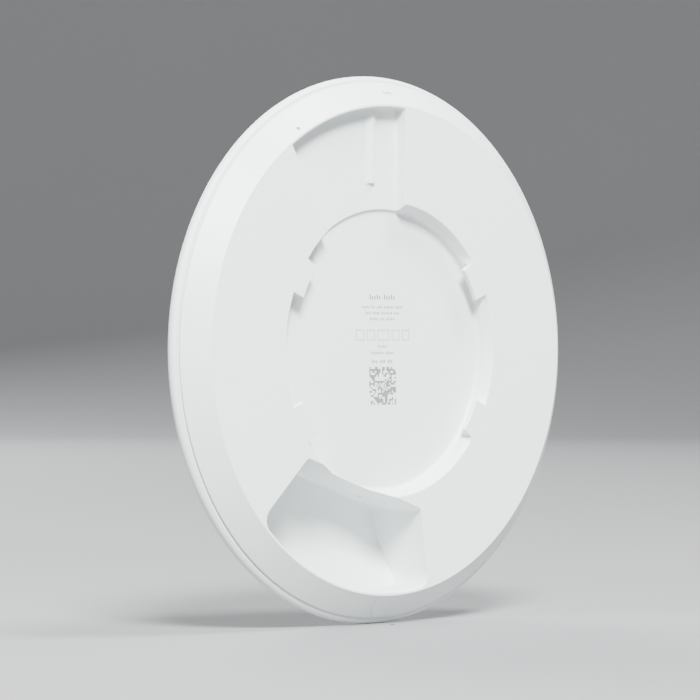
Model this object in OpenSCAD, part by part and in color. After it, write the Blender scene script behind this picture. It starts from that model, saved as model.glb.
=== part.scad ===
// Ceiling access point: a shallow dome that twists onto a ceiling bracket.
// World frame: the disc stands on edge, its back faces -Y and +Z is up.
// Every module is drawn lying on the bench: x to the right and y up as seen from behind,
// z out of the back face, so depths into the body are negative. upright() stands it up.

/* [Body] */
// Diameter over the widest line of the dome
body_d = 176; // [172:1:212]
// Depth from the back face to the top of the dome
body_depth = 43; // [42.5:0.5:52]
// Depth of the widest line behind the back face
rim_depth = 9; // [8.8:0.1:10]
// Radius that rounds the widest line
rim_round = 1.9; // [1.7:0.1:2.2]
// Width of the bevel between the back face and the seam, measured along the radius
bevel_w = 8.2; // [7:0.1:10]
// Length of the dome's straight flank next to its edge
flank_l = 5.4; // [3:0.1:8]
// Radius of the shoulder between the flank and the front
shoulder_r = 60; // [54:1:62]
// Thickness of the rear housing
wall = 2; // [1.6:0.1:2.5]
// Thickness of the front cover
cover_wall = 2.2; // [1.8:0.1:2.6]

/* [Seam] */
// Depth of the line where the two shells meet
seam_depth = 7; // [6.6:0.1:7.2]
// Radius on the rear housing's edge at the seam
seam_round = 0.5; // [0.3:0.1:0.8]
// Gap that shows along the seam
seam_gap = 0.15; // [0.1:0.05:0.3]
// Width of the cover's edge at the seam
skirt_w = 2.4; // [2.2:0.1:2.8]
// Side clearance between the spigot and the cover's skirt
spigot_gap = 0.2; // [0.15:0.05:0.3]
// Wall of the spigot that centres the cover
spigot_wall = 1.5; // [1.3:0.1:1.8]
// Length of the spigot beyond the seam
spigot_h = 2.8; // [2.6:0.1:3]
// Number of snap catches around the seam
catch_count = 8; // [4:1:12]
// How far a snap catch stands in
catch_h = 0.6; // [0.4:0.1:0.8]

/* [Bracket recess] */
// Radius of the recess at the back face
recess_r = 47.2; // [46.4:0.1:49]
// Radius of the recess below its chamfer
recess_wall_r = 45.4; // [45:0.1:46.2]
// Depth of the chamfer
recess_chamfer = 3.2; // [2.4:0.1:3.8]
// Depth of the recess floor
recess_depth = 5.2; // [4.8:0.1:6.3]
// Radius between the recess wall and its floor
recess_fillet = 1.6; // [0.8:0.1:1.6]
// Inner radius of the bayonet lugs
lug_r = 42.5; // [40:0.1:43.5]
// Thickness of a bayonet lug
lug_t = 1.7; // [1.3:0.1:2.1]
// Angle from the horizontal to the near end of a lug
lug_start = 22.4; // [18:0.1:26]
// Angle that a lug covers
lug_sweep = 15.2; // [10:0.1:18]

/* [Latch slot] */
// Distance from the centre line to the straight side of the slot
slot_side = 6.2; // [4:0.1:9]
// Slope of the slot's other side, from the vertical
slot_slope = 31.3; // [27:0.1:34]
// Distance by which that side passes the centre
slot_offset = 4.5; // [3:0.1:6]
// Depth of the slot floor
slot_depth = 4.4; // [4.3:0.1:4.7]
// Thickness of the ring left between the slot or pocket and the bevel
edge_ring = 0.8; // [0.6:0.1:1.8]
// Distance from the centre line to the step of the catch rib on the slot floor
rib_side = 4.4; // [3:0.1:6]
// Height of the catch rib
rib_h = 1.1; // [0.8:0.1:1.6]
// Width of the catch rib's flat crest
rib_crest = 1.1; // [0.8:0.1:2]
// Width of the ramp that leads up to the crest
rib_ramp = 2.3; // [1.5:0.1:4]
// Height at which the rib ends, above the centre
rib_end = 53.4; // [50:0.1:60]

/* [Cable pocket] */
// Direction of the pocket's middle, anticlockwise from the right as seen from behind
pocket_angle = 251; // [248:1:254]
// Distance from the centre to the pocket's inner wall
pocket_inner = 44.3; // [43.6:0.1:45]
// Reach of the inner wall towards the jack
pocket_left = 24.2; // [22:0.1:26]
// Reach of the inner wall away from the jack
pocket_right = 29.3; // [26:0.1:31]
// Angle by which each side wall splays
pocket_splay = 27.5; // [25:0.5:29]
// Depth of the pocket floor
pocket_depth = 21.5; // [21:0.1:22]
// Radius that blends the pocket floor into its outer slope
pocket_blend = 20; // [12:1:24]
// Radius of the pocket's outer corners
pocket_round = 4.5; // [3:0.1:6]
// Radius of the pocket's inner corners
pocket_corner = 1.6; // [1:0.1:2.5]
// Wall around the pocket
pocket_wall = 1.8; // [1.5:0.1:2.1]
// Room between the pocket and the front cover, along the axis
pocket_room = 0.4; // [0.3:0.1:1]
// Width of the knock-out for a side cable
knockout_w = 10; // [8:0.5:11]
// Depth of the knock-out's round end
knockout_depth = 6.3; // [5.8:0.1:6.5]
// Direction of the knock-out
knockout_angle = 269; // [262:1:271]
// Gap around the knock-out
knockout_gap = 0.15; // [0.1:0.05:0.25]

/* [Reset and tool holes] */
// Distance of the reset hole from the pocket's middle
reset_side = 17; // [12:0.5:20]
// Height of the reset hole above the main board
reset_rise = 2.8; // [2.4:0.1:3.2]
// Radius of the reset hole
reset_hole_r = 0.9; // [0.6:0.05:1]
// Travel of the reset button
reset_travel = 0.3; // [0.2:0.05:0.4]
// Radius of the reset button's stem
reset_stem_r = 1.25; // [1:0.05:1.4]
// Running clearance around the stem
reset_gap = 0.08; // [0.05:0.01:0.1]
// Direction of the release pinhole in the bevel
pinhole_angle = 120.2; // [112:0.1:124]
// Radius of the release pinhole
pinhole_r = 0.65; // [0.5:0.05:0.8]

/* [Main board] */
// Depth of the board's rear face
board_depth = 19.8; // [19.6:0.1:20]
// Thickness of the board
board_t = 1.6; // [1.2:0.1:1.7]
// Distance from the board's edge to the widest line of the dome
board_margin = 21; // [20.5:0.5:24]
// Clearance between the board and the pocket
board_gap = 0.5; // [0.3:0.1:1]
// Distance of the board screws from the board's edge
screw_inset = 6; // [5:0.5:8]
// Radius of a screw's shank
screw_r = 1.2; // [1:0.05:1.4]
// Radius of a screw's head
screw_head_r = 2.5; // [2.2:0.1:2.8]
// Height of a screw's head
screw_head_h = 1.6; // [1.2:0.1:2]
// Radius of a screw boss
boss_r = 3.2; // [2.8:0.1:3.6]

/* [Heat sink and shields] */
// Width of the heat sink
sink_w = 64; // [58:1:68]
// Height of the heat sink
sink_h = 50; // [46:1:54]
// Thickness of the heat sink's base
sink_base = 1.6; // [1.2:0.1:2]
// Thickness of a fin
fin_t = 1.2; // [1:0.1:1.6]
// Room between the fins and the floor of the bracket recess
fin_gap = 2.2; // [0.5:0.1:3.5]
// Number of fins
fin_count = 11; // [7:1:14]
// Height of a shield above the board
shield_h = 2.7; // [2.4:0.1:3]
// Thickness of the shield sheet
shield_t = 0.3; // [0.2:0.05:0.4]
// Thickness of a thermal pad
pad_t = 0.9; // [0.6:0.1:1.2]

/* [Ethernet jack] */
// Width of the jack
jack_w = 16; // [15.5:0.1:16.4]
// Height of the jack above the board
jack_h = 13; // [12.8:0.1:13.6]
// Length of the jack behind the pocket wall
jack_l = 18; // [17:0.1:18.4]
// Distance of the jack's middle from the pocket's inner corner
jack_middle = 10.6; // [10.4:0.1:11]
// Clearance around the jack in the pocket wall
jack_gap = 0.15; // [0.1:0.05:0.3]
// Width of the plug opening
plug_w = 11.9; // [11.7:0.1:12]
// Height of the plug opening
plug_h = 6.9; // [6.6:0.1:7]
// Depth of the plug opening
plug_l = 13.5; // [12.5:0.1:14]
// Width of the opening for the plug's latch
latch_w = 6.3; // [6:0.1:6.6]
// Height of the opening for the plug's latch
latch_h = 2; // [1.6:0.1:2.2]

/* [Light ring and antennas] */
// Inner radius of the light ring
ring_in_r = 28; // [26:0.5:32]
// Width of the light ring
ring_w = 3; // [2:0.1:4]
// Clearance between the ring, the cap and the cover
ring_gap = 0.1; // [0.05:0.05:0.2]
// Width of the flange behind the cover and the cap
ring_flange = 1.6; // [1:0.1:2.5]
// Number of lamps under the ring
lamp_count = 6; // [3:1:12]
// Room between a low band antenna and the front cover
low_antenna_gap = 2.2; // [0.6:0.1:4]
// Room between a high band antenna and the front cover
high_antenna_gap = 2.4; // [0.6:0.1:4]
// Thickness of the antennas' sheet
antenna_t = 0.5; // [0.3:0.1:0.8]

/* [Hidden] */
$fn = 64;
ring_fn = 160;                                 // smoothness of the large turned faces
eps = 0.01;
over = 1;                                      // cuts run this far past the face they open
fuse = 0.3;                                    // joined pieces run this far into each other
up_max = 10;                                   // cuts start this far outside the back face

rim_r = body_d / 2;
rim_c = rim_r - rim_round;                     // centre line of the rim's round
rim_from = 66;                                 // the rim's round starts here, at the seam
seam_r = rim_c + rim_round * cos(rim_from);
back_r = seam_r - bevel_w;
bevel_slope = atan2(seam_depth, bevel_w);
edge_r = back_r - edge_ring;                   // outer wall of the slot and the pocket
slot_foot = recess_wall_r - 5;                 // the slot is cut from here outwards
skirt_r = seam_r - skirt_w;                    // inside of the cover's skirt
spigot_r = skirt_r - spigot_gap;
tub_floor = 2;                                 // floor under the recess and the slot
sleeve_wall = 1.5;                             // wall of the channel behind the knock-out
sleeve_end = 0.4;                              // the channel ends this far inside the spigot
web_t = 0.6;                                   // thickness of a break-off web
web_step = 2;                                  // the lowest web lies this far out along the bevel
stiffener_t = 1.2;                             // ribs that tie the bosses to the walls
stiffener_depth = 8;
lug_root = 0.5;                                // the lugs run this far into the recess wall
catch_at = 0.8;                                // from the seam to a snap catch
catch_l = 1.4;                                 // length of a catch along the axis
catch_sweep = 8;                               // angle that a catch covers
catch_gap = 0.15;                              // room for a catch in its window
pinhole_out = 1.5;                             // from the back face's edge to the pinhole
pinhole_depth = 3;

board_r = rim_r - board_margin;
board_front = board_depth + board_t;           // depth of the board's front face
screw_ring_r = board_r - screw_inset;
screw_angles = [20, 64, 150, 184, 290, 335];
screw_bite = 8;                                // length of a board screw inside its boss
sink_screw_bite = 2.8;                         // and of a heat sink screw inside its post
pilot_gap = 0.03;                              // between a screw and its pilot hole
screw_play = 0.2;                              // between a screw and its hole in the board
drive_r = 0.9;                                 // recess in a screw's head
drive_depth = 0.8;
sink_at = [6, 6];
sink_inset = 3;                                // from the heat sink's edge to its posts and fins
fin_inset = 1;                                 // from its side to the outer fins
sink_depth = board_depth - shield_h - pad_t;   // depth of the heat sink's flat face
sink_posts = [for (x = [-1, 1], y = [-1, 1])
              sink_at + [x * (sink_w / 2 - sink_inset), y * (sink_h / 2 - sink_inset)]];
sink_post_r = 3;
shields = [[[-6, 6], [28, 34]], [[22, 6], [22, 34]]];     // [centre, size] of each shield
shield_r = 0.8;
lid_gap = 0.05;                                // between a shield's frame and its lid
lid_drop = 0.8;                                // the lid's skirt ends this far above the board
pad_margin = [6, 8];                           // a pad is this much smaller than its shield

// Chips and wound parts: places of their centres, and [width, height, thickness]
processor_at = [-7, 12];
processor_size = [14, 14, 1.4];
memory_at = [[-12.5, -3.5], [-1.5, -3.5]];
memory_size = [8, 11, 1];
radio_at = [[22, -2], [22, 13]];
radio_size = [9, 9, 0.9];
line_transformer_at = [-41, -12.5];
line_transformer_size = [12, 16, 6.5];
inductor_at = [[-34, 6], [-34, -1], [14, -27]];
inductor_size = [6.4, 6.4, 4];
capacitor_at = [[-36, 40], [-43, 29], [-26, 46]];
capacitor_r = 4;
capacitor_base = [8.4, 8.4, 1.2];
power_at = [-50, 11];                          // power transformer
power_base = [14, 14, 1.6];
power_core = [14, 9];
power_gap = 1.8;                               // between its core and the stiffening ribs
power_top = board_depth - stiffener_depth - power_gap;     // height of its core
capacitor_h = power_top - 1;
power_leg = 1.5;                               // thickness of the core's top and bottom
power_coil_r = 5;
power_window_r = 6.2;

lamp_t = 0.8;
lamp_size = [2.8, 3.5];
lamp_gap = 0.4;                                // between a lamp and the light ring
lamp_board_t = 1.2;
lamp_board_gap = 0.2;                          // around the lamp board in its holder
low_connector = [3, 9, 1.5];                   // flat cable's connector on the main board
high_connector = [2.4, 9, 1];                  // and on the lamp board
holder_post_r = 2.2;
holder_post_angles = [60, 180, 300];
holder_t = 1.6;                                // floor of the lamp holder
holder_wall = 1.5;
holder_gap = 0.8;                              // between the lamp holder and the front cover
lamp_in = ring_in_r - 6;
lamp_out = ring_in_r + ring_w + 3;

jack_side = jack_middle - jack_w / 2;
jack_front = 0.3;                              // the jack's face lies this far behind the wall
plug_foot = 2.4;                               // from the board to the plug opening
contact_size = [0.45, 9, 0.35];                // width, length and thickness of a contact
contact_pitch = 1.02;
contact_rise = 6;                              // height of a contact's back end above the board
contact_slope = 20;

reset_depth = board_depth - reset_rise;
switch_gap = 0.6;                              // between the pocket wall and the switch
switch_size = [3.4, 6.2, 4.6];                 // depth, width and height
stem_l = 2.6;                                  // length of the button's stem inside the switch
stem_gap = 0.2;                                // between the button and the pocket wall

low_antenna_angles = [5, 125, 300];
low_antenna_size = [9, 24];
low_antenna_in = 19;                           // from the board's edge to an antenna's centre
high_antenna_angles = [80, 168, 318];
high_antenna_size = [7, 12];
high_antenna_in = 13;
leg_w = 1.8;
leg_pitch = 4;                                 // between the feed leg and the ground leg

// ---- helpers ----

module upright() rotate([90, 0, 0]) children();

function polar(r, a) = [r * cos(a), r * sin(a)];
function arc(c, r, from, to, n) = [for (i = [0:n]) c + polar(r, from + (to - from) * i / n)];
function unit(v) = v / norm(v);
function reversed(v) = [for (i = [len(v) - 1:-1:0]) v[i]];

// Points of the arc that rounds corner b between its neighbours a and c
function corner(a, b, c, r, n) =
    let (u = unit(a - b), v = unit(c - b), half = acos(u * v) / 2,
         o = b + unit(u + v) * r / sin(half),
         p = b + u * r / tan(half) - o, q = b + v * r / tan(half) - o,
         from = atan2(p[1], p[0]), turn = atan2(p[0] * q[1] - p[1] * q[0], p * q))
    arc(o, r, from, from + turn, n);

// A ring segment that starts at one angle and sweeps on from there
module sector(from, sweep, r_in, r_out, deep, shallow) {
    translate([0, 0, -deep]) rotate(from) rotate_extrude(angle = sweep, $fn = ring_fn)
        translate([r_in, 0]) square([r_out - r_in, deep - shallow]);
}

// A block with rounded upright edges, standing on a depth and reaching up to a lower one
module slab(at, size, deep, shallow, r = 0.5) {
    x = size[0] / 2;
    y = size[1] / 2;
    c = [[-x, -y], [x, -y], [x, y], [-x, y]];
    translate([at[0], at[1], -deep]) linear_extrude(deep - shallow)
        polygon([for (i = [0:3]) each corner(c[(i + 3) % 4], c[i], c[(i + 1) % 4], r, 4)]);
}

// A disc or post between two depths
module post(at, r, deep, shallow) {
    translate([at[0], at[1], -deep]) cylinder(r = r, h = deep - shallow, $fn = 32);
}

// ---- the dome's profile: front arc, shoulder arc, 45 degree flank, round rim ----

flank = rim_c + rim_depth + rim_round * sqrt(2);   // radius minus height, all along the flank
flank_top = rim_c + rim_round * cos(45) - flank_l * cos(45);
shoulder_o = [flank_top, flank_top - flank] - polar(shoulder_r, -45);
dome_lift = shoulder_o[1] + body_depth;
dome_r = (pow(shoulder_o[0], 2) + pow(dome_lift, 2) - pow(shoulder_r, 2))
         / (2 * (dome_lift - shoulder_r));
dome_c = dome_r - body_depth;                  // height of the front arc's centre
shoulder_a = atan2(shoulder_o[0], dome_c - shoulder_o[1]);   // slope where the arcs meet

// Depth of the front cover's inside at a radius within the front arc
function inside_depth(r) = sqrt(pow(dome_r - cover_wall, 2) - r * r) - dome_c;

ring_back = inside_depth(lamp_out + holder_wall) - holder_gap;   // depth of the light ring's flange
lamp_board_front = ring_back - lamp_t - lamp_gap;
lamp_board_rear = lamp_board_front - lamp_board_t;

// The curve from the axis out to the flank, drawn in by a wall thickness
function dome_curve(inset) = concat(
    arc([0, dome_c], dome_r - inset, -90, -90 + shoulder_a, 14),
    arc(shoulder_o, shoulder_r - inset, -88 + shoulder_a, -45, 5));

// Everything inside that curve, raised along the axis
module dome_core(lift, inset = 0) {
    translate([0, 0, lift]) rotate_extrude($fn = ring_fn)
        polygon(concat([[0, up_max]], dome_curve(inset),
                       [[rim_r, rim_r - flank], [rim_r, up_max]]));
}

// ---- the cable pocket ----

// Half of the pocket's outline, as [distance out along its middle, distance to the side]:
// the inner corner's round, then the round that runs out through the outer wall at a slant.
// grow moves every wall outwards.
function pocket_half(reach, grow) =
    let (m = [-sin(pocket_splay), cos(pocket_splay)], w = [cos(pocket_splay), sin(pocket_splay)],
         off = [pocket_inner, reach] * m + grow,
         r = pocket_round + grow, out = edge_r + grow,
         o = m * (off - r) + w * sqrt(pow(out - r, 2) - pow(off - r, 2)),
         x = pocket_inner - grow, inner = [x, (off - x * m[0]) / m[1]],
         end = atan2(o[1], o[0]) + 15)
    concat(corner([x, 0], inner, inner + w * 10, pocket_corner + grow, 4),
           arc(o, r, 90 + pocket_splay, end, 6),
           [o + polar(r, end) + polar(r, end - 90), unit(o) * out * 1.25]);

function mirrored(pts) = [for (p = reversed(pts)) [p[0], -p[1]]];

module pocket_outline(grow = 0) {
    rotate(pocket_angle) intersection() {
        circle(r = edge_r + grow, $fn = ring_fn);
        polygon(concat(pocket_half(pocket_right, grow),
                       mirrored(pocket_half(pocket_left, grow))));
    }
}

// Everything above the pocket floor: the floor, the blend, then the slope behind the dome
module pocket_floor() {
    inset = cover_wall + pocket_wall;
    o = shoulder_o + [0, pocket_room];
    up = pocket_blend - pocket_depth - o[1];
    blend_o = o + [sqrt(pow(shoulder_r - inset - pocket_blend, 2) - up * up), up];
    meet = atan2(up, blend_o[0] - o[0]);
    rise = up_max - pocket_room;
    rotate_extrude($fn = ring_fn)
        polygon(concat([[0, up_max], [0, -pocket_depth]], arc(blend_o, pocket_blend, -90, meet, 12),
                       arc(o, shoulder_r - inset, meet + 1, -45, 4),
                       [[rise + flank - inset * sqrt(2), up_max]]));
}

module pocket_void() {
    intersection() {
        translate([0, 0, -pocket_depth - over]) linear_extrude(pocket_depth + 2 * over)
            pocket_outline();
        pocket_floor();
    }
}

module pocket_tub() {
    intersection() {
        translate([0, 0, -pocket_depth - pocket_wall])
            linear_extrude(pocket_depth + pocket_wall) pocket_outline(pocket_wall);
        dome_core(pocket_room, cover_wall);
    }
}

// Stands on the wall that holds the jack: x along it away from the corner, y into the pocket
module at_jack_wall() rotate(pocket_angle) translate([pocket_inner, -pocket_left])
    rotate(-pocket_splay) children();

// Stands at the reset hole: x out of the inner wall into the pocket
module at_reset() rotate(pocket_angle) translate([pocket_inner, reset_side, -reset_depth])
    children();

module reset_rod(r, from, to) at_reset() translate([from, 0, 0]) rotate([0, 90, 0])
    cylinder(r = r, h = to - from, $fn = 32);

// U-shaped way out of the pocket through the bevel, grown by a wall or a gap
module knockout_way(from, length, grow) {
    w = knockout_w + 2 * grow;
    rotate(knockout_angle) translate([from, 0, knockout_w / 2 - knockout_depth]) {
        translate([0, -w / 2, 0]) cube([length, w, knockout_depth]);
        rotate([0, 90, 0]) cylinder(d = w, h = length, $fn = 48);
    }
}

// ---- rear housing ----

// Radius of the bevel at a depth, drawn in by a wall thickness
function bevel_r(depth, inset) = back_r + (depth - inset / cos(bevel_slope)) / tan(bevel_slope);

module rear_shell() {
    end_r = spigot_r - spigot_wall;
    end_depth = (end_r - bevel_r(0, wall)) * tan(bevel_slope);
    rotate_extrude($fn = ring_fn)
        polygon(concat([[0, 0], [back_r, 0]],
                       corner([back_r, 0], [seam_r, -seam_depth], [spigot_r, -seam_depth],
                              seam_round, 4),
                       [[spigot_r, -seam_depth], [spigot_r, -seam_depth - spigot_h],
                        [end_r, -seam_depth - spigot_h], [end_r, -end_depth],
                        [bevel_r(wall, wall), -wall], [0, -wall]]));
}

// Everything under the back face and the bevel, drawn in by a wall thickness
module bevel_core(inset) {
    rotate_extrude($fn = ring_fn)
        polygon([[0, -inset], [bevel_r(inset, inset), -inset],
                 [bevel_r(seam_depth, inset), -seam_depth],
                 [bevel_r(seam_depth, inset), -body_depth], [0, -body_depth]]);
}

module recess_void() {
    fillet_o = [recess_wall_r - recess_fillet, recess_fillet - recess_depth];
    rotate_extrude($fn = ring_fn)
        polygon(concat([[0, up_max], [recess_r, up_max], [recess_r, 0],
                        [recess_wall_r, -recess_chamfer]],
                       arc(fillet_o, recess_fillet, 0, -90, 6), [[0, -recess_depth]]));
}

module lugs() {
    for (from = [lug_start, -lug_start - lug_sweep, 180 + lug_start, 180 - lug_start - lug_sweep])
        sector(from, lug_sweep, lug_r, recess_r + lug_root, lug_t, 0);
}

// Wedge between the straight side and the sloping side, out to the edge ring
module slot_outline(grow = 0) {
    w = [-sin(slot_slope), cos(slot_slope)];
    near = [-cos(slot_slope), -sin(slot_slope)] * (slot_offset + grow)
           + w * slot_foot;
    intersection() {
        circle(r = edge_r + grow, $fn = ring_fn);
        polygon([[slot_side + grow, slot_foot], near, near + w * body_d / 2,
                 [slot_side + grow, body_d / 2]]);
    }
}

// The bracket's tongue rides up the ramp and drops in behind the crest
module slot_rib() {
    intersection() {
        translate([-rib_side, rib_end, -slot_depth]) rotate([90, 0, 180]) linear_extrude(edge_r)
            polygon([[0, -over], [0, rib_h], [rib_crest, rib_h], [rib_crest + rib_ramp, 0],
                     [rib_crest + rib_ramp, -over]]);
        post([0, 0], edge_r + fuse, slot_depth + fuse, 0);
    }
}

// Ribs from the recess out to the spigot, through the bosses
module stiffeners() {
    from = recess_r + wall / 2;
    for (a = screw_angles) rotate(a) translate([from, -stiffener_t / 2, -stiffener_depth])
        cube([spigot_r - spigot_wall / 2 - from, stiffener_t, stiffener_depth]);
}

module rear_body() {
    difference() {
        union() {
            rear_shell();
            intersection() {
                union() {
                    post([0, 0], recess_r + wall, recess_depth + tub_floor, 0);
                    translate([0, 0, -slot_depth - tub_floor])
                        linear_extrude(slot_depth + tub_floor) slot_outline(wall);
                    pocket_tub();
                    for (a = screw_angles) post(polar(screw_ring_r, a), boss_r, board_depth, 0);
                    stiffeners();
                    knockout_way(edge_r, spigot_r - sleeve_end - edge_r, sleeve_wall);
                }
                bevel_core(wall / 4);
            }
        }
        recess_void();
        translate([0, 0, -slot_depth]) linear_extrude(slot_depth + over) slot_outline();
        pocket_void();
    }
}

// Snap catches from one depth inside the skirt to another outside it, grown by the window's room
module catches(from_skirt, past_skirt, grow) {
    sweep = catch_sweep + 2 * atan2(2 * grow, skirt_r);
    for (i = [0:catch_count - 1])
        sector((i + 0.5) * 360 / catch_count - sweep / 2, sweep, skirt_r - from_skirt,
               skirt_r + past_skirt, seam_depth + catch_at + catch_l + grow,
               seam_depth + catch_at - grow);
}

module rear_housing() color("whitesmoke") upright() {
    difference() {
        union() {
            rear_body();
            lugs();
            slot_rib();
        }
        knockout_way(edge_r - over, rim_r - edge_r, 0);
        at_jack_wall() translate([jack_side - jack_gap, -pocket_wall - over, -board_depth])
            cube([jack_w + 2 * jack_gap, pocket_wall + 3 * over, jack_h + jack_gap]);
        reset_rod(reset_hole_r, -pocket_wall - over, over);
        for (a = screw_angles)
            post(polar(screw_ring_r, a), screw_r + pilot_gap, board_depth + over,
                 board_depth - screw_bite - over);
        catches(catch_h + catch_gap, 0, catch_gap);
        post(polar(back_r + pinhole_out, pinhole_angle), pinhole_r, pinhole_depth, -over);
    }
}

// Fills the channel until a side cable needs it, held by three break-off webs
module cable_knockout() color("whitesmoke") upright() {
    difference() {
        union() {
            knockout_way(edge_r, rim_r - edge_r, -knockout_gap);
            for (a = [0, 180, 270]) rotate(knockout_angle)
                translate([back_r - web_t + web_step * sin(-a), 0,
                           knockout_w / 2 - knockout_depth])
                rotate([a, 0, 0]) translate([0, 0, -web_t / 2])
                cube([web_t, knockout_w / 2, web_t]);
        }
        difference() {
            post([0, 0], body_d, board_depth, -up_max * 2);
            bevel_core(0);
        }
        bevel_core(wall);
    }
}

// ---- front cover and light ring ----

module front_cover() color("whitesmoke") upright() {
    in_flank = flank - cover_wall * sqrt(2);
    difference() {
        rotate_extrude($fn = ring_fn)
            polygon(concat([[skirt_r, -seam_depth - seam_gap], [seam_r, -seam_depth - seam_gap]],
                           arc([rim_c, -rim_depth], rim_round, rim_from, -45, 6),
                           reversed(dome_curve(0)), dome_curve(cover_wall),
                           [[skirt_r, skirt_r - in_flank]]));
        post([0, 0], ring_in_r + ring_w + ring_gap, body_depth + over, ring_back - over);
    }
    catches(catch_h, fuse, 0);
}

module centre_cap() color("whitesmoke") upright() {
    intersection() {
        difference() {
            dome_core(0);
            dome_core(0, cover_wall);
        }
        post([0, 0], ring_in_r - ring_gap, body_depth + over, ring_back - over);
    }
}

// A clear ring between cap and cover, with a flange that carries both from behind
module light_ring() color("white", 0.8) upright() {
    difference() {
        intersection() {
            post([0, 0], ring_in_r + ring_w, body_depth + over, ring_back);
            dome_core(0);
        }
        post([0, 0], ring_in_r, body_depth + 2 * over, ring_back - over);
    }
    difference() {
        intersection() {
            post([0, 0], ring_in_r + ring_w + ring_flange, body_depth, ring_back);
            dome_core(ring_gap / 2, cover_wall);
        }
        post([0, 0], ring_in_r - ring_flange, body_depth + over, ring_back - over);
    }
}

module lamp_ring(r_in, r_out, deep, shallow) {
    difference() {
        post([0, 0], r_out, deep, shallow);
        post([0, 0], r_in, deep + over, shallow - over);
    }
}

module lamp_holder() color("white") upright() {
    lamp_ring(lamp_in - holder_wall, lamp_out + holder_wall, lamp_board_rear,
              lamp_board_rear - holder_t);
    lamp_ring(lamp_out + lamp_board_gap, lamp_out + holder_wall, ring_back, lamp_board_rear - eps);
    for (a = holder_post_angles) post(polar(ring_in_r, a), holder_post_r,
                                      lamp_board_rear - holder_t + eps, board_front);
}

module lamp_board() color("darkgreen") upright()
    lamp_ring(lamp_in, lamp_out, lamp_board_front, lamp_board_rear);

module lamps() color("lightyellow") upright() {
    for (i = [0:lamp_count - 1]) rotate(360 * (i + 0.5) / lamp_count)
        slab([ring_in_r + ring_w / 2, 0], lamp_size, lamp_board_front + lamp_t,
             lamp_board_front, 0.3);
}

// Flat cable in an S between the two boards' connectors
module lamp_cable() color("white") upright() {
    thick = 0.5;
    width = 6;
    low = board_front + 0.6;
    high = lamp_board_front + 0.3;
    from = 9;                                  // the S starts and ends at these radii
    to = 18;
    bend = [for (i = [0:10]) [from + (to - from) * i / 10,
                              -low - (high - low) * (1 - cos(18 * i)) / 2]];
    top = concat([[low_connector[0], -low]], bend, [[lamp_in + 2, -high]]);
    translate([0, width / 2, 0]) rotate([90, 0, 0]) linear_extrude(width)
        polygon(concat(top, [for (p = reversed(top)) p - [0, thick]]));
}

module flat_connectors() color("ivory") upright() {
    slab([low_connector[0] / 2, 0], [low_connector[0], low_connector[1]],
         board_front + low_connector[2], board_front, 0.2);
    slab([lamp_in + 2 + high_connector[0] / 2, 0], [high_connector[0], high_connector[1]],
         lamp_board_front + high_connector[2], lamp_board_front, 0.2);
}

// ---- main board and what it carries ----

module main_board() color("darkgreen") upright() {
    difference() {
        translate([0, 0, -board_front]) linear_extrude(board_t) difference() {
            circle(r = board_r, $fn = ring_fn);
            pocket_outline(pocket_wall + board_gap);
        }
        for (p = concat([for (a = screw_angles) polar(screw_ring_r, a)], sink_posts))
            post(p, screw_r + screw_play, board_front + over, board_depth - over);
    }
}

module screw(at, bite) {
    difference() {
        post(at, screw_head_r, board_front + screw_head_h, board_front);
        post(at, drive_r, board_front + screw_head_h + over,
             board_front + screw_head_h - drive_depth);
    }
    post(at, screw_r, board_front + eps, board_depth - bite);
}

module board_screws() color("silver") upright()
    for (a = screw_angles) screw(polar(screw_ring_r, a), screw_bite);

module heat_sink_screws() color("silver") upright()
    for (p = sink_posts) screw(p, sink_screw_bite);

module heat_sink() color("silver") upright() {
    pitch = (sink_w - fin_t - 2 * fin_inset) / (fin_count - 1);
    fin_h = sink_depth - sink_base - recess_depth - tub_floor - fin_gap;
    difference() {
        union() {
            slab(sink_at, [sink_w, sink_h], sink_depth, sink_depth - sink_base, 3);
            for (p = sink_posts) post(p, sink_post_r, board_depth, sink_depth - sink_base);
            for (i = [0:fin_count - 1])
                translate([sink_at[0] - sink_w / 2 + fin_inset + i * pitch,
                           sink_at[1] - sink_h / 2 + sink_inset, sink_base - sink_depth - eps])
                cube([fin_t, sink_h - 2 * sink_inset, fin_h]);
        }
        for (p = sink_posts) post(p, screw_r + pilot_gap, board_depth + over,
                                  board_depth - sink_screw_bite - over);
    }
}

module thermal_pads() color("slategray") upright()
    for (s = shields) slab(s[0], s[1] - pad_margin, sink_depth + pad_t, sink_depth);

module shield_frames() color("silver") upright() {
    for (s = shields) difference() {
        slab(s[0], s[1], board_depth, board_depth - shield_h + shield_t + lid_gap, shield_r);
        slab(s[0], s[1] - [2, 2] * shield_t, board_depth + over, board_depth - shield_h - over);
    }
}

module shield_lids() color("silver") upright() {
    for (s = shields) difference() {
        slab(s[0], s[1] + [2, 2] * (shield_t + lid_gap), board_depth - lid_drop,
             board_depth - shield_h, shield_r + shield_t);
        slab(s[0], s[1] + [2, 2] * lid_gap, board_depth, board_depth - shield_h + shield_t,
             shield_r);
    }
}

// A block on the board's rear face
module chip(at, size, r = 0.4) slab(at, [size[0], size[1]], board_depth, board_depth - size[2], r);

module processor() color("dimgray") upright() chip(processor_at, processor_size);

module memory_chips() color("dimgray") upright() for (p = memory_at) chip(p, memory_size, 0.3);

module radio_chips() color("dimgray") upright() for (p = radio_at) chip(p, radio_size, 0.3);

module line_transformer() color("black") upright()
    chip(line_transformer_at, line_transformer_size, 0.6);

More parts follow.
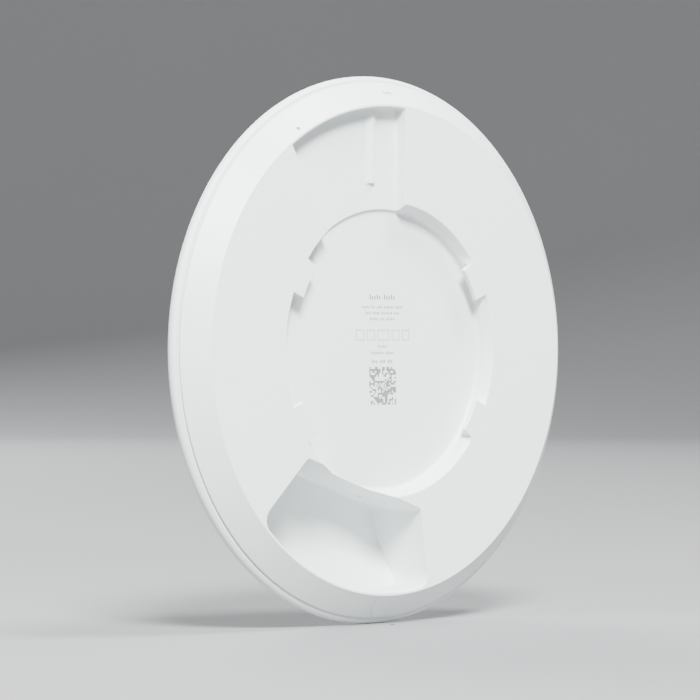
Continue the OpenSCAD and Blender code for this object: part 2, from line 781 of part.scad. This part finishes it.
// A round coil on a base, between the top and the two legs of its core
module power_transformer() color("dimgray") upright() {
    base = board_depth - power_base[2] + eps;
    chip(power_at, power_base);
    post(power_at, power_coil_r, base, board_depth - power_top + power_leg - eps);
    difference() {
        slab(power_at, power_core, base, board_depth - power_top);
        post(power_at, power_window_r, base - power_leg, board_depth - power_top + power_leg);
    }
}

module capacitors() color("darkslategray") upright() {
    for (p = capacitor_at) {
        chip(p, capacitor_base, 1);
        post(p, capacitor_r, board_depth - capacitor_base[2] + eps, board_depth - capacitor_h);
    }
}

module inductors() color("dimgray") upright() for (p = inductor_at) chip(p, inductor_size, 1.2);

// ---- network jack ----

// A block in the jack's place: x across, y back from the jack's face, z up from the board
module jack_block(x, y, z, size) at_jack_wall()
    translate([jack_side + x, -jack_front - y - size[1], z - board_depth]) cube(size);

module jack_body() color("dimgray") upright() {
    skin = shield_t + lid_gap;
    difference() {
        jack_block(skin, 0, 0, [jack_w - 2 * skin, jack_l - skin, jack_h - skin]);
        jack_block((jack_w - plug_w) / 2, -over, plug_foot, [plug_w, plug_l + over, plug_h]);
        jack_block((jack_w - latch_w) / 2, -over, plug_foot + plug_h - fuse,
                   [latch_w, plug_l + over, latch_h + fuse]);
    }
}

module jack_shield() color("silver") upright() {
    difference() {
        jack_block(0, 0, 0, [jack_w, jack_l, jack_h]);
        jack_block(shield_t, -over, -over, [jack_w - 2 * shield_t, jack_l - shield_t + over,
                                           jack_h - shield_t + over]);
    }
}

// Eight springs that slope down towards the mouth from the back of the plug opening
module jack_contacts() color("gold") upright() {
    for (i = [-3.5:1:3.5]) at_jack_wall()
        translate([jack_side + (jack_w - contact_size[0]) / 2 + i * contact_pitch,
                   -jack_front - plug_l, contact_rise - board_depth])
        rotate([-contact_slope, 0, 0]) cube(contact_size);
}

// ---- reset switch ----

switch_face = pocket_wall + switch_gap;        // from the pocket to the switch's front
stem_back = switch_face + stem_l;

module reset_switch() color("black") upright() {
    difference() {
        at_reset() translate([-switch_face - switch_size[0], -switch_size[1] / 2,
                              reset_depth - board_depth]) cube(switch_size);
        reset_rod(reset_stem_r + reset_gap, -stem_back - reset_travel - reset_gap, 0);
    }
}

module reset_button() color("dimgray") upright()
    reset_rod(reset_stem_r, -stem_back, -pocket_wall - stem_gap);

// ---- antennas: a bent sheet with a top plate, a feed leg and a ground leg ----

module antenna(angle, from_edge, size, gap) {
    out = board_r - from_edge;
    top = inside_depth(norm([out + size[0] / 2, size[1] / 2])) - gap;
    rotate(angle) translate([out, 0, 0]) {
        slab([0, 0], size, top, top - antenna_t, 0.8);
        for (y = [leg_w, leg_w + leg_pitch])
            slab([antenna_t / 2 - size[0] / 2, y - size[1] / 2], [antenna_t, leg_w],
                 top - antenna_t / 2, board_front, 0.1);
    }
}

module low_antenna(i) color("silver") upright()
    antenna(low_antenna_angles[i], low_antenna_in, low_antenna_size, low_antenna_gap);

module high_antenna(i) color("silver") upright()
    antenna(high_antenna_angles[i], high_antenna_in, high_antenna_size, high_antenna_gap);

rear_housing();
cable_knockout();
front_cover();
centre_cap();
light_ring();
lamp_holder();
lamp_board();
lamps();
lamp_cable();
flat_connectors();
main_board();
board_screws();
heat_sink();
heat_sink_screws();
thermal_pads();
shield_frames();
shield_lids();
processor();
memory_chips();
radio_chips();
line_transformer();
power_transformer();
capacitors();
inductors();
jack_body();
jack_shield();
jack_contacts();
reset_switch();
reset_button();
low_antenna(0);  // low_antenna_1
low_antenna(1);  // low_antenna_2
low_antenna(2);  // low_antenna_3
high_antenna(0);  // high_antenna_1
high_antenna(1);  // high_antenna_2
high_antenna(2);  // high_antenna_3
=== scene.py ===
from math import radians

import bmesh
import bpy
import numpy as np
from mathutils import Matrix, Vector


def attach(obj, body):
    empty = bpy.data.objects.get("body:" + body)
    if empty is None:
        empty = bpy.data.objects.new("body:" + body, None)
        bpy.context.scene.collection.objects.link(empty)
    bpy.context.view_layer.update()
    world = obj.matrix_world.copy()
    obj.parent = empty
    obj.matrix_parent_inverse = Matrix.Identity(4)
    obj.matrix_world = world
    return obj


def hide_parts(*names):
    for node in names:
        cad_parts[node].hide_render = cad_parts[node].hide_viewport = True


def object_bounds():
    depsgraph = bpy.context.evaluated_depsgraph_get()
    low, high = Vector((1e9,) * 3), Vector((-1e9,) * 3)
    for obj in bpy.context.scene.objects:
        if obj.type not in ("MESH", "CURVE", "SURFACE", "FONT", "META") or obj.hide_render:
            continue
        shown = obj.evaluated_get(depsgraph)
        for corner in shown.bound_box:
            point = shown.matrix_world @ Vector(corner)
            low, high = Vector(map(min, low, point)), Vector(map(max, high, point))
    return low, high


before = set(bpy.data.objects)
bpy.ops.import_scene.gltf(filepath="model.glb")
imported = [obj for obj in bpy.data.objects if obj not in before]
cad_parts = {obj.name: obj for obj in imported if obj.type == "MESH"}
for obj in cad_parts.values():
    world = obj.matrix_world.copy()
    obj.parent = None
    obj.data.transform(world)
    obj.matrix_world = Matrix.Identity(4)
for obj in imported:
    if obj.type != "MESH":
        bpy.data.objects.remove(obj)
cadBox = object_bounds()
print("frame loaded:", len(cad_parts), "nodes")

mm = 0.001               # lengths are in metres, and X points right, Y into the disc and Z up
scene = bpy.context.scene

# A long lens, level with the middle of the disc, an eighth of a turn round from its back
cameraSettings = {
    "turn": 45.1,                       # degrees round from square-on behind
    "distance": 1232 * mm,              # from the middle of the widest line
    "rimDepth": 9 * mm,                 # that middle lies this far in from the back face
    "lens": 196.7,                      # mm
    "sensor": 36,                       # mm
    "nearest": 10 * mm,                 # what is closer to the lens isn't seen
    "aimLeft": 7.2 * mm,                # the lens points this far to the left of the middle
}


def makeCamera(settings):
    turn = radians(settings["turn"])
    middle = Vector((0, settings["rimDepth"], 0))
    away = Vector((-np.sin(turn), -np.cos(turn), 0))
    left = Vector((-np.cos(turn), np.sin(turn), 0))
    camera = bpy.data.objects.new("camera", bpy.data.cameras.new("camera"))
    camera.data.lens = settings["lens"]
    camera.data.sensor_width = settings["sensor"]
    camera.data.clip_start = settings["nearest"]
    camera.location = middle + away * settings["distance"]
    sight = middle + left * settings["aimLeft"] - camera.location
    camera.rotation_euler = sight.to_track_quat("-Z", "Y").to_euler()
    scene.collection.objects.link(camera)
    scene.camera = camera


makeCamera(cameraSettings)
print("camera placed")

reliefHeight = 0.25      # height of a surface's grain, as a share of its size


# A cloud of grain, its size in metres, read in Object coordinates: plain, and spread between two values
def addGrain(nodes, links, size, low, high, detail=2.0):
    where = nodes.new("ShaderNodeTexCoord")
    grain = nodes.new("ShaderNodeTexNoise")
    grain.inputs["Scale"].default_value = 1 / size
    grain.inputs["Detail"].default_value = detail
    spread = nodes.new("ShaderNodeMapRange")
    spread.inputs["To Min"].default_value = low
    spread.inputs["To Max"].default_value = high
    links.new(where.outputs["Object"], grain.inputs["Vector"])
    links.new(grain.outputs["Fac"], spread.inputs["Value"])
    return grain.outputs["Fac"], spread.outputs["Result"]


# A surface whose colour follows a cloud, and whose roughness and relief follow a finer grain
def grainyMaterial(name, settings):
    material = bpy.data.materials.new(name)
    material.use_nodes = True
    nodes, links = material.node_tree.nodes, material.node_tree.links
    shader = nodes["Principled BSDF"]
    _, blend = addGrain(nodes, links, settings["cloud"], 0, 1)
    mix = nodes.new("ShaderNodeMix")
    mix.data_type = "RGBA"
    mix.inputs["A"].default_value = (*settings["colour"], 1)
    mix.inputs["B"].default_value = (*settings["shade"], 1)
    links.new(blend, mix.inputs["Factor"])
    links.new(mix.outputs["Result"], shader.inputs["Base Color"])
    _, rough = addGrain(nodes, links, settings["grain"], *settings["rough"])
    links.new(rough, shader.inputs["Roughness"])
    height, _ = addGrain(nodes, links, settings["grain"], 0, 1, detail=3.0)
    bump = nodes.new("ShaderNodeBump")
    bump.inputs["Strength"].default_value = settings["relief"]
    bump.inputs["Distance"].default_value = settings["grain"] * reliefHeight
    links.new(height, bump.inputs["Height"])
    links.new(bump.outputs["Normal"], shader.inputs["Normal"])
    shader.inputs["Metallic"].default_value = settings.get("metal", 0)
    shader.inputs["IOR"].default_value = settings.get("ior", 1.5)
    shader.inputs["Transmission Weight"].default_value = settings.get("clear", 0)
    return material


# Each finish: its colour and the shade of its cloud, the range of its roughness, the sizes of the
# cloud and of the grain, and the strength of the relief
finishes = {
    "shell_plastic": {"colour": (0.795, 0.835, 0.828), "shade": (0.775, 0.815, 0.808),
                      "rough": (0.36, 0.5), "cloud": 30 * mm, "grain": 0.35 * mm, "relief": 0.22,
                      "ior": 1.49},
    "white_plastic": {"colour": (0.78, 0.78, 0.76), "shade": (0.72, 0.72, 0.7),
                      "rough": (0.4, 0.55), "cloud": 8 * mm, "grain": 0.3 * mm, "relief": 0.15},
    "ivory_plastic": {"colour": (0.72, 0.66, 0.5), "shade": (0.66, 0.6, 0.45),
                      "rough": (0.35, 0.5), "cloud": 3 * mm, "grain": 0.2 * mm, "relief": 0.1},
    "light_guide": {"colour": (0.86, 0.88, 0.9), "shade": (0.8, 0.83, 0.86),
                    "rough": (0.22, 0.34), "cloud": 6 * mm, "grain": 0.25 * mm, "relief": 0.1,
                    "ior": 1.49, "clear": 0.35},
    "circuit_board": {"colour": (0.012, 0.09, 0.045), "shade": (0.02, 0.14, 0.06),
                      "rough": (0.25, 0.4), "cloud": 2.5 * mm, "grain": 0.4 * mm, "relief": 0.2},
    "lamp_package": {"colour": (0.85, 0.84, 0.7), "shade": (0.8, 0.72, 0.3),
                     "rough": (0.25, 0.35), "cloud": 1.5 * mm, "grain": 0.2 * mm, "relief": 0.1},
    "screw_steel": {"colour": (0.62, 0.63, 0.64), "shade": (0.5, 0.5, 0.51),
                    "rough": (0.25, 0.42), "cloud": 1.5 * mm, "grain": 0.15 * mm, "relief": 0.12,
                    "metal": 1},
    "sink_aluminium": {"colour": (0.7, 0.71, 0.72), "shade": (0.6, 0.61, 0.62),
                       "rough": (0.3, 0.5), "cloud": 6 * mm, "grain": 0.3 * mm, "relief": 0.2,
                       "metal": 1},
    "thermal_rubber": {"colour": (0.3, 0.36, 0.42), "shade": (0.24, 0.3, 0.36),
                       "rough": (0.6, 0.8), "cloud": 3 * mm, "grain": 0.2 * mm, "relief": 0.3},
    "tinned_steel": {"colour": (0.66, 0.66, 0.64), "shade": (0.55, 0.55, 0.54),
                     "rough": (0.25, 0.45), "cloud": 5 * mm, "grain": 0.25 * mm, "relief": 0.12,
                     "metal": 1},
    "chip_plastic": {"colour": (0.025, 0.025, 0.027), "shade": (0.04, 0.04, 0.042),
                     "rough": (0.45, 0.65), "cloud": 2 * mm, "grain": 0.1 * mm, "relief": 0.25},
    "ferrite": {"colour": (0.07, 0.068, 0.066), "shade": (0.11, 0.105, 0.1),
                "rough": (0.5, 0.75), "cloud": 1.5 * mm, "grain": 0.15 * mm, "relief": 0.4},
    "capacitor_sleeve": {"colour": (0.03, 0.035, 0.05), "shade": (0.05, 0.055, 0.07),
                         "rough": (0.25, 0.4), "cloud": 3 * mm, "grain": 0.2 * mm, "relief": 0.1},
    "jack_plastic": {"colour": (0.03, 0.03, 0.032), "shade": (0.05, 0.05, 0.052),
                     "rough": (0.35, 0.5), "cloud": 4 * mm, "grain": 0.2 * mm, "relief": 0.15},
    "contact_gold": {"colour": (0.86, 0.62, 0.24), "shade": (0.75, 0.52, 0.2),
                     "rough": (0.15, 0.3), "cloud": 1 * mm, "grain": 0.1 * mm, "relief": 0.08,
                     "metal": 1},
    "antenna_metal": {"colour": (0.74, 0.73, 0.7), "shade": (0.62, 0.61, 0.58),
                      "rough": (0.28, 0.45), "cloud": 4 * mm, "grain": 0.2 * mm, "relief": 0.12,
                      "metal": 1},
}
materials = {name: grainyMaterial(name + "_finish", finish) for name, finish in finishes.items()}

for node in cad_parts.values():
    for materialSlot in node.material_slots:
        slotName = materialSlot.material.name.split(".")[0]
        materialSlot.material = materials[slotName]
print("materials:", len(materials))

# Where the housing's hollows lie, and the radii that the mould leaves on their edges
housingSettings = {
    "recess": {"radius": 47.2 * mm, "depth": 5.2 * mm},
    # one side of the slot is upright, this far right of the axis; the other slopes by these degrees
    # and passes the axis at the offset; the slot is cut outwards from its foot
    "slot": {"side": 6.2 * mm, "slope": 31.3, "offset": 4.5 * mm, "depth": 4.4 * mm, "foot": 40 * mm},
    # the pocket points this way, in degrees from +X; its inner wall lies this far out, and its side
    # walls start this far left and right of its middle and splay by these degrees
    "pocket": {"turn": 251, "inner": 44.3 * mm, "left": 24.2 * mm, "right": 29.3 * mm,
               "splay": 27.5, "depth": 21.5 * mm},
    "edge": 77.94 * mm,                 # radius of the outer wall of the slot and the pocket
    "room": 0.15 * mm,                  # an edge up to this far outside a hollow still belongs to it
    "flush": 0.05 * mm,                 # an edge less deep than this lies on the back face
    "mouth": 0.3 * mm,                  # rounding along the mouths, on the back face
    "lug": 0.2 * mm,                    # on the lugs and the other outward edges inside the hollows
    "crease": 0.7 * mm,                 # in the corners of the slot
    "pocketCrease": 1.1 * mm,           # in the corners of the pocket
    "chamferDepth": 3.3 * mm,           # below this the ridge between recess and pocket stays sharp
    "fadeRadius": 62 * mm,              # the pocket's creases run out at this distance from the axis
    "fadeWidth": 5 * mm,
    "sharp": 25,                        # degrees; edges flatter than this are left alone
    "merge": 0.002 * mm,                # corners closer than this are one
    "flat": 0.3,                        # degrees; faces that meet at less than this are joined
    "segments": 3,
    "flatWeight": 100,                  # how strongly large faces hold the shading flat
}


# Whether each point lies in the slot: inside its straight side, its sloping side and its outer wall
def inSlot(x, z, radius, settings):
    slot, room = settings["slot"], settings["room"]
    slope = radians(slot["slope"])
    past = -x * np.cos(slope) - z * np.sin(slope)
    return ((x < slot["side"] + room) & (past < slot["offset"] + room)
            & (z > slot["foot"]) & (radius < settings["edge"] + room))


# Whether each point lies in the pocket: past its inner wall and between its two splayed walls
def inPocket(x, z, radius, settings):
    pocket, room = settings["pocket"], settings["room"]
    turn, splay = radians(pocket["turn"]), radians(pocket["splay"])
    out = x * np.cos(turn) + z * np.sin(turn) - pocket["inner"]
    across = z * np.cos(turn) - x * np.sin(turn)
    lean = out * np.sin(splay)
    return ((out > -room) & (across * np.cos(splay) - lean < pocket["right"] * np.cos(splay) + room)
            & (-across * np.cos(splay) - lean < pocket["left"] * np.cos(splay) + room)
            & (radius < settings["edge"] + room))


# Radius wanted on each edge of the housing, from where its middle lies and how it bends: the bend is
# above zero on an outward edge and below zero in a corner
def edgeRadii(middle, bend, settings):
    x, depth, z = middle.T
    radius = np.hypot(x, z)
    room = settings["room"]
    slot = inSlot(x, z, radius, settings) & (depth < settings["slot"]["depth"] + room)
    pocket = inPocket(x, z, radius, settings) & (depth < settings["pocket"]["depth"] + room)
    recess = (radius < settings["recess"]["radius"] + room) & (depth < settings["recess"]["depth"] + room)
    flush = depth < settings["flush"]
    inside = ~flush & (slot | pocket | recess)
    wanted = np.zeros(len(x))
    wanted[inside & (bend > 0)] = settings["lug"]
    wanted[inside & (bend < 0) & slot] = settings["crease"]
    fade = np.clip((settings["fadeRadius"] - radius) / settings["fadeWidth"], 0, 1)
    fading = inside & (bend < 0) & pocket
    wanted[fading] = settings["pocketCrease"] * fade[fading]
    wanted[inside & pocket & recess & (depth > settings["chamferDepth"])] = 0
    wanted[flush & (slot | pocket | recess)] = settings["mouth"]
    wanted[np.abs(bend) < radians(settings["sharp"])] = 0
    return wanted


# A merged copy of a node's mesh, with the middle and the bend of each of its edges
def mergedCopy(name, node, settings):
    shape = bmesh.new()
    shape.from_mesh(node.data)
    bmesh.ops.remove_doubles(shape, verts=shape.verts, dist=settings["merge"])
    bmesh.ops.dissolve_limit(shape, angle_limit=radians(settings["flat"]), verts=shape.verts,
                             edges=shape.edges)
    middle = np.array([(edge.verts[0].co + edge.verts[1].co) / 2 for edge in shape.edges])
    bend = np.array([edge.calc_face_angle_signed(0) for edge in shape.edges])
    mesh = bpy.data.meshes.new(name)
    shape.to_mesh(mesh)
    shape.free()
    return mesh, middle, bend


# Bevel weights that follow the radii; the edges that stay sharp are marked for the shading
def markEdges(mesh, radii, bend, settings):
    weights = mesh.attributes.new("bevel_weight_edge", "FLOAT", "EDGE")
    weights.data.foreach_set("value", radii / radii.max())
    sharp = mesh.attributes.new("sharp_edge", "BOOLEAN", "EDGE")
    sharp.data.foreach_set("value", (radii == 0) & (np.abs(bend) > radians(settings["sharp"])))
    mesh.polygons.foreach_set("use_smooth", np.ones(len(mesh.polygons), bool))


# The rear housing with its moulded edges, in place of its plain node
def makeHousing(node, settings):
    mesh, middle, bend = mergedCopy("moulded_rear_housing", node, settings)
    radii = edgeRadii(middle, bend, settings)
    markEdges(mesh, radii, bend, settings)
    mesh.materials.append(materials["shell_plastic"])
    piece = bpy.data.objects.new("moulded_rear_housing", mesh)
    scene.collection.objects.link(piece)
    rounding = piece.modifiers.new("moulded edges", "BEVEL")
    rounding.limit_method = "WEIGHT"
    rounding.width = radii.max()
    rounding.segments = settings["segments"]
    rounding.use_clamp_overlap = False
    shading = piece.modifiers.new("flat faces stay flat", "WEIGHTED_NORMAL")
    shading.keep_sharp = True
    shading.weight = settings["flatWeight"]
    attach(piece, "access_point")
    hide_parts(node.name)
    print("rear housing rounded:", len(mesh.edges), "edges")


makeHousing(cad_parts["rear_housing"], housingSettings)

inkSettings = {
    "colour": (0.17, 0.175, 0.18),
    "shade": (0.21, 0.215, 0.22),
    "rough": (0.45, 0.6),
    "cloud": 1.5 * mm,
    "grain": 0.1 * mm,
    "relief": 0.1,
}
inkMaterial = grainyMaterial("grey_ink", inkSettings)

# Letter-like blocks: the pitch is a share of the letter height, the width is a share of the pitch,
# and two letters in three are short, at this share of the height
letterSettings = {"pitch": 0.72, "width": 0.5, "short": 0.74}


# Left, right, bottom and top of each letter's block in one row, centred on the print's middle, with
# a blank letter between words
def letterBlocks(middle, height, tall, words):
    pitch = letterSettings["pitch"] * tall
    starts = np.cumsum((0,) + words[:-1]) + np.arange(len(words))
    letters = np.concatenate([start + np.arange(count) for start, count in zip(starts, words)])
    left = letters * pitch + middle - (letters[-1] + 1) * pitch / 2
    low = np.full(len(left), height - tall / 2)
    share = np.where(letters % 3 == 0, 1.0, letterSettings["short"])
    return np.column_stack([left, left + letterSettings["width"] * pitch, low, low + share * tall])


# Four thin bars round each empty frame of a row
def frameBars(middle, settings):
    line, gap = settings["line"], settings["gap"]
    widths = np.array(settings["widths"]) * mm
    left = middle - (widths.sum() + gap * (len(widths) - 1)) / 2
    left = left + np.cumsum(widths) - widths + gap * np.arange(len(widths))
    right = left + widths
    low = np.full(len(left), settings["height"] - settings["tall"] / 2)
    high = np.full(len(left), settings["height"] + settings["tall"] / 2)
    return np.vstack([
        np.column_stack([left, left + line, low, high]),
        np.column_stack([right - line, right, low, high]),
        np.column_stack([left + line, right - line, low, low + line]),
        np.column_stack([left + line, right - line, high - line, high])])


# Cells of a square, filled by the scattered last digits of a sine, so that it means nothing
def codeCells(settings):
    cell = settings["side"] / settings["cells"]
    column, row = np.meshgrid(np.arange(settings["cells"]), np.arange(settings["cells"]))
    wave = np.sin(column * settings["across"] + row * settings["down"]) * settings["scatter"]
    filled = wave % 1 > settings["empty"]
    left = settings["middle"][0] - settings["side"] / 2 + column[filled] * cell
    low = settings["middle"][1] - settings["side"] / 2 + row[filled] * cell
    inked = cell * settings["inked"]
    return np.column_stack([left, left + inked, low, low + inked])


# Closed flat boxes from [left, right, bottom, top] rows that lie on a plane: each corner is the
# plane's origin plus its share of the plane's right, up and outward directions, and the boxes
# reach as far out of the plane as into it
def blockMesh(name, blocks, plane, ink):
    left, right, low, high = blocks.T
    outer = np.ones(len(left)) * ink
    local = np.stack([np.stack([u, v, w], -1) for w in (outer, -outer)
                      for u, v in ((left, low), (right, low), (right, high), (left, high))], 1)
    axes = np.array([plane["right"], plane["up"], plane["out"]], float)
    axes = axes / np.linalg.norm(axes, axis=1, keepdims=True)
    corners = local.reshape(-1, 3) @ axes + np.array(plane["origin"])
    faces = np.array([[0, 1, 2, 3], [7, 6, 5, 4], [4, 5, 1, 0], [5, 6, 2, 1], [6, 7, 3, 2],
                      [7, 4, 0, 3]])
    quads = (np.arange(len(left))[:, None, None] * 8 + faces).reshape(-1, 4)
    mesh = bpy.data.meshes.new(name)
    mesh.from_pydata(corners.tolist(), [], quads.tolist())
    return mesh


# A plane that faces straight out of the back, at this depth below the back face
def backPlane(depth):
    return {"origin": (0, depth, 0), "right": (1, 0, 0), "up": (0, 0, 1), "out": (0, -1, 0)}


# A piece of flat boxes that goes with the housing
def addBlocks(name, blocks, plane, ink, material):
    mesh = blockMesh(name, blocks, plane, ink)
    piece = bpy.data.objects.new(name, mesh)
    scene.collection.objects.link(piece)
    mesh.materials.append(material)
    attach(piece, "access_point")


labelSettings = {
    "middle": 0.9 * mm,                 # the print's middle lies this far right of the axis
    "ink": 0.02 * mm,                   # thickness of the ink above the plastic
    "rows": [                           # mm above the axis, letter height in mm, letters in each word
        (17.0, 1.5, (5, 5)), (13.8, 0.9, (5, 3, 4, 7, 5)), (11.9, 0.9, (4, 5, 8, 4)),
        (10.0, 0.9, (6, 3, 7)), (1.2, 0.8, (7,)), (-0.9, 0.9, (9, 6)), (-3.6, 1.2, (3, 3, 3))],
    "frames": {"height": 4.8 * mm, "widths": (3.6, 3.6, 5.2, 3.4, 3.2),      # widths in mm
               "tall": 3.4 * mm, "gap": 1.3 * mm, "line": 0.18 * mm},
    "code": {"middle": (0.9 * mm, -11.5 * mm), "side": 12.2 * mm, "cells": 19, "inked": 0.96,
             "empty": 0.48, "across": 12.9898, "down": 78.233, "scatter": 43758.5453},
}


# The label on the recess floor: rows of letters, a row of empty frames and a square of cells
def makeLabel(settings):
    rows = [letterBlocks(settings["middle"], height * mm, tall * mm, words)
            for height, tall, words in settings["rows"]]
    frames = frameBars(settings["middle"], settings["frames"])
    blocks = np.vstack(rows + [frames, codeCells(settings["code"])])
    plane = backPlane(housingSettings["recess"]["depth"])
    addBlocks("label_print", blocks, plane, settings["ink"], inkMaterial)


makeLabel(labelSettings)

bevelMarkSettings = {
    "middle": 1.1 * mm,                 # right of the axis
    "radius": 82.6 * mm,                # above the axis
    "depth": 3.33 * mm,                 # in from the back face
    "slope": (7.0, 8.2),                # the bevel falls by the first over the second
    "tall": 0.9 * mm,
    "words": (6,),
    "ink": 0.02 * mm,
}


# A few letter-like blocks at the top of the bevel
def makeBevelMark(settings):
    fall, reach = settings["slope"]
    plane = {"origin": (0, settings["depth"], settings["radius"]), "right": (1, 0, 0),
             "up": (0, fall, reach), "out": (0, -reach, fall)}
    blocks = letterBlocks(settings["middle"], 0.0, settings["tall"], settings["words"])
    addBlocks("bevel_mark", blocks, plane, settings["ink"], inkMaterial)


makeBevelMark(bevelMarkSettings)

resetMarkSettings = {
    "aside": (16.2, 17.75),             # mm from the pocket's middle; the reset hole lies between
    "depth": 13.0 * mm,                 # the hole lies deeper
    "side": 0.55 * mm,
    "ink": 0.02 * mm,
}


# Two dots on the pocket's inner wall, between the reset hole and the mouth
def makeResetMark(settings):
    pocket = housingSettings["pocket"]
    turn = radians(pocket["turn"])
    out = np.array([np.cos(turn), 0, np.sin(turn)])
    plane = {"origin": out * pocket["inner"] + np.array([0, settings["depth"], 0]),
             "right": (-np.sin(turn), 0, np.cos(turn)), "up": (0, -1, 0), "out": out}
    aside = np.array(settings["aside"]) * mm
    half = settings["side"] / 2
    high = np.full(len(aside), half)
    blocks = np.column_stack([aside - half, aside + half, -high, high])
    addBlocks("reset_mark", blocks, plane, settings["ink"], inkMaterial)


makeResetMark(resetMarkSettings)

witnessSettings = {
    "left": -4.5 * mm,
    "width": 0.16 * mm,
    "low": 45.7 * mm,                   # just outside the recess
    "high": 53.2 * mm,                  # just short of the catch rib
    "rise": 0.06 * mm,
}


# The mould's witness line on the slot floor, from the end of the catch rib to the recess
def makeWitnessLine(settings):
    left = settings["left"]
    blocks = np.array([[left, left + settings["width"], settings["low"], settings["high"]]])
    plane = backPlane(housingSettings["slot"]["depth"])
    addBlocks("slot_witness_line", blocks, plane, settings["rise"], materials["shell_plastic"])


makeWitnessLine(witnessSettings)
print("label, marks and witness line placed")

# Lengths of the stage and places of the lights are in plain metres
stageSettings = {
    "poleRadius": 0.001,                # the floor starts this far from its middle
    "floorRadius": 2.6,
    "coveRadius": 1.4,
    "coveSteps": 25,                    # points on the quarter circle between floor and wall
    "height": 5.0,
    "steps": 128,                       # points round the axis
    "paper": {"colour": (0.215, 0.22, 0.225), "shade": (0.205, 0.21, 0.215), "rough": (0.75, 0.9),
              "cloud": 0.4, "grain": 2 * mm, "relief": 0.05},
}


# Floor that curves up into a backdrop all round: a profile of [radius, height] points, which are a
# flat floor, a quarter circle and a wall, each turned about Z
def makeStage(settings):
    ground = cadBox[0][2]
    quarter = np.linspace(-90, 0, settings["coveSteps"]) * np.pi / 180
    cove = settings["coveRadius"]
    centre = np.array([settings["floorRadius"], cove])
    curve = centre + cove * np.column_stack([np.cos(quarter), np.sin(quarter)])
    top = [[settings["floorRadius"] + cove, settings["height"]]]
    profile = np.vstack([[[settings["poleRadius"], 0.0]], curve, top])
    steps = settings["steps"]
    angle = np.linspace(0, 2 * np.pi, steps, endpoint=False)
    x = profile[:, :1] * np.cos(angle)
    y = profile[:, :1] * np.sin(angle)
    z = np.repeat(profile[:, 1:] + ground, steps, axis=1)
    points = np.stack([x, y, z], axis=-1).reshape(-1, 3)
    row = np.arange(len(profile) - 1)[:, None] * steps
    column = np.arange(steps)
    following = (column + 1) % steps
    quads = np.stack([row + column, row + following, row + steps + following,
                      row + steps + column], axis=-1).reshape(-1, 4)
    mesh = bpy.data.meshes.new("stage")
    mesh.from_pydata(points.tolist(), [], quads.tolist())
    mesh.polygons.foreach_set("use_smooth", np.ones(len(quads), bool))
    mesh.materials.append(grainyMaterial("stage_paper", settings["paper"]))
    stage = bpy.data.objects.new("stage", mesh)
    scene.collection.objects.link(stage)


makeStage(stageSettings)

# Each light's place, the size of its sheet and its power in watts; all point at the middle of the
# back face
lightSettings = {
    "keySoftbox": {"place": (-0.93, -1.33, 1.52), "size": (0.6, 0.6), "power": 225},
    "topSoftbox": {"place": (0.57, -0.69, 2.0), "size": (0.6, 0.6), "power": 88},
    "frontFill": {"place": (0.8, 2.2, 1.2), "size": (1.8, 1.8), "power": 110},
}


def makeLight(name, settings):
    data = bpy.data.lights.new(name, "AREA")
    data.shape = "RECTANGLE"
    data.size, data.size_y = settings["size"]
    data.energy = settings["power"]
    light = bpy.data.objects.new(name, data)
    light.location = settings["place"]
    light.rotation_euler = (-Vector(settings["place"])).to_track_quat("-Z", "Y").to_euler()
    scene.collection.objects.link(light)


for name, light in lightSettings.items():
    makeLight(name, light)

# The faint light that comes from all round
worldSettings = {"colour": (0.9, 0.93, 1.0, 1), "strength": 0.05}

world = bpy.data.worlds.new("studio")
world.use_nodes = True
background = world.node_tree.nodes["Background"]
background.inputs["Color"].default_value = worldSettings["colour"]
background.inputs["Strength"].default_value = worldSettings["strength"]
scene.world = world
print("stage and lights placed")
